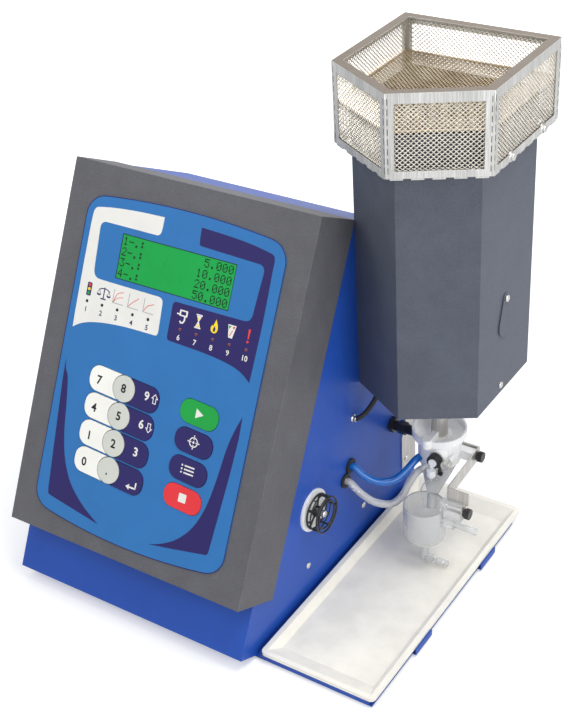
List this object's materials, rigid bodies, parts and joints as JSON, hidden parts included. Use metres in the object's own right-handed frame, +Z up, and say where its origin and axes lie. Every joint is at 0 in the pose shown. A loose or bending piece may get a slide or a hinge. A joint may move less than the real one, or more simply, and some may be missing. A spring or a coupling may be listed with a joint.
{
  "type": "flame photometer",
  "caption": "Bench flame photometer: sloping keypad panel on a wedge cabinet, side chimney with mesh guard, burner, nebuliser, drain cup and drip tray.",
  "frame": {"origin": "on the bench, at the middle of the footprint of the whole object", "axes": "+X to the right of someone facing the panel, +Y to the back, +Z up"},
  "size_m": [0.3962, 0.3404, 0.4958],
  "materials": {
    "blue_paint": "semi-gloss powder coat",
    "hood_paint": "satin textured powder coat",
    "slate_paint": "satin powder coat",
    "stainless": "brushed, slightly worn",
    "heated_mesh": "heat-tinted",
    "zinc": "bright zinc plating",
    "sky_overlay": "printed film, faint leather grain",
    "window_green": "glossy tinted window",
    "cream_plastic": "smooth thermoformed sheet",
    "key_cream": "printed film",
    "key_grey": "printed film",
    "key_navy": "printed film",
    "key_green_print": "printed film",
    "key_red_print": "printed film",
    "milky_plastic": "translucent polypropylene",
    "white_plastic": "machined fluoropolymer",
    "clear_plastic": "clear acrylic",
    "black_rubber": "matte",
    "black_plastic": "moulded, satin",
    "blue_tube": "flexible tubing",
    "circuit_board": "solder mask",
    "lamp_red": "tinted lens",
    "brass": "turned",
    "pump_grey": "hammered paint",
    "galvanised": "plain sheet",
    "optics_black": "anodised black"
  },
  "bodies": {
    "cabinet": {"base_plate": "blue_paint", "feet": "black_rubber", "casing": "blue_paint", "rear_panel": "blue_paint", "fixing_screws": "zinc", "bezel": "hood_paint", "overlay": "sky_overlay", "display_window": "window_green", "display_module": "circuit_board", "status_leds": "lamp_red", "front_board": "circuit_board", "chimney": "slate_paint", "guard_frame": "stainless", "mesh_walls": "stainless", "mesh_floor": "heated_mesh", "tray_carrier": "blue_paint", "burner_mount": "black_plastic", "mixing_chamber": "white_plastic", "burner_head": "stainless", "drain_sump": "milky_plastic", "nebuliser": "clear_plastic", "capillary": "clear_plastic", "support_plate": "stainless", "air_hose": "blue_tube", "fuel_hose": "milky_plastic", "ignition_lead": "black_rubber", "grommets": "black_rubber", "valve_plate": "white_plastic", "fuel_line": "brass", "optical_head": "optics_black", "air_pump": "pump_grey", "power_supply": "galvanised", "main_board": "circuit_board", "mains_inlet": "black_plastic"},
    "valve": {"valve_wheel": "black_plastic"},
    "tray": {"drip_tray": "cream_plastic"},
    "shutter": {"view_shutter": "slate_paint"},
    "arm": {"cup_arm": "stainless"},
    "cup": {"drain_cup": "milky_plastic"},
    "upper_screw": {"upper_thumbscrew": "black_plastic"},
    "lower_screw": {"lower_thumbscrew": "black_plastic"},
    "locking_nut": {"nebuliser_nut": "black_plastic"},
    "adjuster": {"nebuliser_adjuster": "zinc"},
    "rocker": {"power_switch": "black_plastic"},
    "key_7_body": {"key_7": "key_cream"},
    "key_8_body": {"key_8": "key_grey"},
    "key_9_body": {"key_9": "key_navy"},
    "key_4_body": {"key_4": "key_cream"},
    "key_5_body": {"key_5": "key_grey"},
    "key_6_body": {"key_6": "key_navy"},
    "key_1_body": {"key_1": "key_cream"},
    "key_2_body": {"key_2": "key_grey"},
    "key_3_body": {"key_3": "key_navy"},
    "key_0_body": {"key_0": "key_cream"},
    "key_point_body": {"key_point": "key_grey"},
    "key_enter_body": {"key_enter": "key_navy"},
    "key_green_body": {"key_green": "key_green_print"},
    "key_mode_a_body": {"key_mode_a": "key_navy"},
    "key_mode_b_body": {"key_mode_b": "key_navy"},
    "key_red_body": {"key_red": "key_red_print"}
  },
  "joints": [
    {"name": "valve_turn", "type": "hinge", "parent": "cabinet", "child": "valve", "pos_m": [0.0719, -0.04407, 0.0975], "axis": [1, 0, 0], "range_deg": [0, 1080]},
    {"name": "tray_lift", "type": "slide", "parent": "cabinet", "child": "tray", "axis": [0, 0, 1], "range_m": [0, 0.0015]},
    {"name": "shutter_swing", "type": "hinge", "parent": "cabinet", "child": "shutter", "pos_m": [0.1837, 0.09413, 0.282], "axis": [1, 0, 0], "range_deg": [-120, 120]},
    {"name": "arm_raise", "type": "hinge", "parent": "cabinet", "child": "arm", "pos_m": [0.1579, 0.09803, 0.0989], "axis": [-1, 0, 0], "range_deg": [0, 5]},
    {"name": "upper_screw_turn", "type": "hinge", "parent": "cabinet", "child": "upper_screw", "pos_m": [0.1579, 0.09803, 0.0989], "axis": [1, 0, 0], "range_deg": [0, 720]},
    {"name": "lower_screw_turn", "type": "hinge", "parent": "arm", "child": "lower_screw", "pos_m": [0.1752, 0.03763, 0.0798], "axis": [1, 0, 0], "range_deg": [0, 720]},
    {"name": "cup_tilt", "type": "hinge", "parent": "arm", "child": "cup", "pos_m": [0.1752, 0.03763, 0.0798], "axis": [1, 0, 0], "range_deg": [-5, 5]},
    {"name": "nut_lock", "type": "hinge", "parent": "cabinet", "child": "locking_nut", "pos_m": [0.1317, 0.06303, 0.1075], "axis": [0, 1, 0], "range_deg": [0, 35]},
    {"name": "adjuster_turn", "type": "hinge", "parent": "cabinet", "child": "adjuster", "pos_m": [0.1443, 0.06303, 0.1075], "axis": [0, 1, 0], "range_deg": [0, 720]},
    {"name": "rocker_switch", "type": "hinge", "parent": "cabinet", "child": "rocker", "pos_m": [-0.1466, 0.14623, 0.0765], "axis": [-1, 0, 0], "range_deg": [0, 18]},
    {"name": "key_7_press", "type": "slide", "parent": "cabinet", "child": "key_7_body", "axis": [0, 0.8829, -0.4695], "range_m": [0, 0.0005], "stiffness_N_per_m": 900},
    {"name": "key_8_press", "type": "slide", "parent": "cabinet", "child": "key_8_body", "axis": [0, 0.8829, -0.4695], "range_m": [0, 0.0005], "stiffness_N_per_m": 900},
    {"name": "key_9_press", "type": "slide", "parent": "cabinet", "child": "key_9_body", "axis": [0, 0.8829, -0.4695], "range_m": [0, 0.0005], "stiffness_N_per_m": 900},
    {"name": "key_4_press", "type": "slide", "parent": "cabinet", "child": "key_4_body", "axis": [0, 0.8829, -0.4695], "range_m": [0, 0.0005], "stiffness_N_per_m": 900},
    {"name": "key_5_press", "type": "slide", "parent": "cabinet", "child": "key_5_body", "axis": [0, 0.8829, -0.4695], "range_m": [0, 0.0005], "stiffness_N_per_m": 900},
    {"name": "key_6_press", "type": "slide", "parent": "cabinet", "child": "key_6_body", "axis": [0, 0.8829, -0.4695], "range_m": [0, 0.0005], "stiffness_N_per_m": 900},
    {"name": "key_1_press", "type": "slide", "parent": "cabinet", "child": "key_1_body", "axis": [0, 0.8829, -0.4695], "range_m": [0, 0.0005], "stiffness_N_per_m": 900},
    {"name": "key_2_press", "type": "slide", "parent": "cabinet", "child": "key_2_body", "axis": [0, 0.8829, -0.4695], "range_m": [0, 0.0005], "stiffness_N_per_m": 900},
    {"name": "key_3_press", "type": "slide", "parent": "cabinet", "child": "key_3_body", "axis": [0, 0.8829, -0.4695], "range_m": [0, 0.0005], "stiffness_N_per_m": 900},
    {"name": "key_0_press", "type": "slide", "parent": "cabinet", "child": "key_0_body", "axis": [0, 0.8829, -0.4695], "range_m": [0, 0.0005], "stiffness_N_per_m": 900},
    {"name": "key_point_press", "type": "slide", "parent": "cabinet", "child": "key_point_body", "axis": [0, 0.8829, -0.4695], "range_m": [0, 0.0005], "stiffness_N_per_m": 900},
    {"name": "key_enter_press", "type": "slide", "parent": "cabinet", "child": "key_enter_body", "axis": [0, 0.8829, -0.4695], "range_m": [0, 0.0005], "stiffness_N_per_m": 900},
    {"name": "key_green_press", "type": "slide", "parent": "cabinet", "child": "key_green_body", "axis": [0, 0.8829, -0.4695], "range_m": [0, 0.0005], "stiffness_N_per_m": 900},
    {"name": "key_mode_a_press", "type": "slide", "parent": "cabinet", "child": "key_mode_a_body", "axis": [0, 0.8829, -0.4695], "range_m": [0, 0.0005], "stiffness_N_per_m": 900},
    {"name": "key_mode_b_press", "type": "slide", "parent": "cabinet", "child": "key_mode_b_body", "axis": [0, 0.8829, -0.4695], "range_m": [0, 0.0005], "stiffness_N_per_m": 900},
    {"name": "key_red_press", "type": "slide", "parent": "cabinet", "child": "key_red_body", "axis": [0, 0.8829, -0.4695], "range_m": [0, 0.0005], "stiffness_N_per_m": 900}
  ]
}
